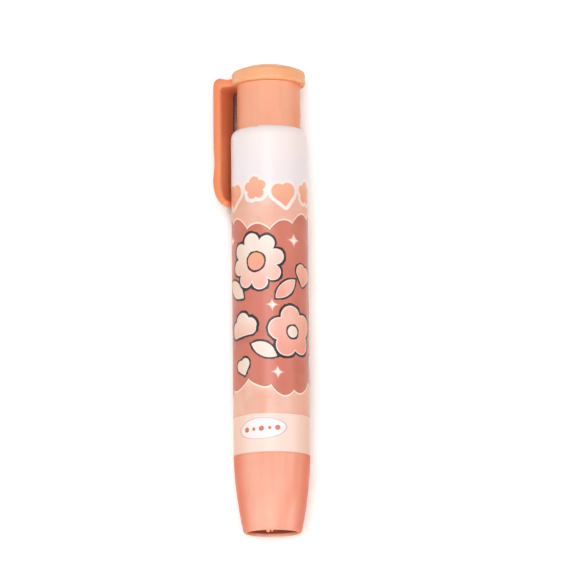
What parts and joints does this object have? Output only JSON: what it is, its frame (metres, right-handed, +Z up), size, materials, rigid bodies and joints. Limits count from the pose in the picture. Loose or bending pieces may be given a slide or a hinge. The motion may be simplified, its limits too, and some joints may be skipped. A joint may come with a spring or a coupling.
{
  "type": "push-button eraser stick",
  "caption": "Pen-shaped push-button eraser stick with a round nose, a printed barrel, a chuck and spring inside, and a pocket clip on its button.",
  "frame": {"origin": "centre of the nose's rim, where the eraser comes out", "axes": "+Y along the stick's axis from the nose to the button, +Z up as the stick lies on a table with its clip to the left"},
  "size_m": [0.0201, 0.0992, 0.016],
  "materials": {
    "nose_plastic": "glossy moulded peach plastic",
    "soft_ring": "soft dark rubber",
    "barrel_plastic": "glossy white plastic",
    "print": "satin printed film, terracotta and peach",
    "spring_wire": "drawn steel wire",
    "ring_brass": "turned brass",
    "chuck_plastic": "natural white moulded plastic",
    "button_plastic": "glossy moulded peach plastic",
    "cap_plastic": "glossy moulded peach plastic",
    "clip_plastic": "glossy moulded peach plastic",
    "eraser_rubber": "matt white eraser"
  },
  "bodies": {
    "barrel": {"barrel": "barrel_plastic", "nose_cone": "nose_plastic", "friction_ring": "soft_ring", "printed_film": "print", "return_spring": "spring_wire"},
    "push_unit": {"push_tube": "button_plastic", "chuck": "chuck_plastic"},
    "cap": {"end_cap": "cap_plastic"},
    "clip": {"pocket_clip": "clip_plastic"},
    "clutch": {"clutch_ring": "ring_brass"},
    "eraser": {"eraser_refill": "eraser_rubber"}
  },
  "joints": [
    {"name": "knock_slide", "type": "slide", "parent": "barrel", "child": "push_unit", "axis": [0, -1, 0], "range_m": [0, 0.008], "stiffness_N_per_m": 400, "springref_m": -0.005, "deforming": ["return_spring"]},
    {"name": "cap_turn", "type": "hinge", "parent": "push_unit", "child": "cap", "pos_m": [0, 0.0948, 0], "axis": [0, 1, 0], "continuous": true},
    {"name": "clip_flex", "type": "hinge", "parent": "cap", "child": "clip", "pos_m": [-0.00647, 0.0956, -0.00293], "axis": [0.4131, 0, -0.9107], "range_deg": [0, 6], "stiffness_Nm_per_rad": 0.6, "springref_deg": -1.72},
    {"name": "clutch_shift", "type": "slide", "parent": "barrel", "child": "clutch", "axis": [0, -1, 0], "range_m": [0, 0.003]},
    {"name": "eraser_feed", "type": "slide", "parent": "barrel", "child": "eraser", "axis": [0, -1, 0], "range_m": [-0.001, 0.054]}
  ],
  "couplings": [
    {"joint": "clutch_shift", "follows": "knock_slide", "ratio": 0.375}
  ]
}
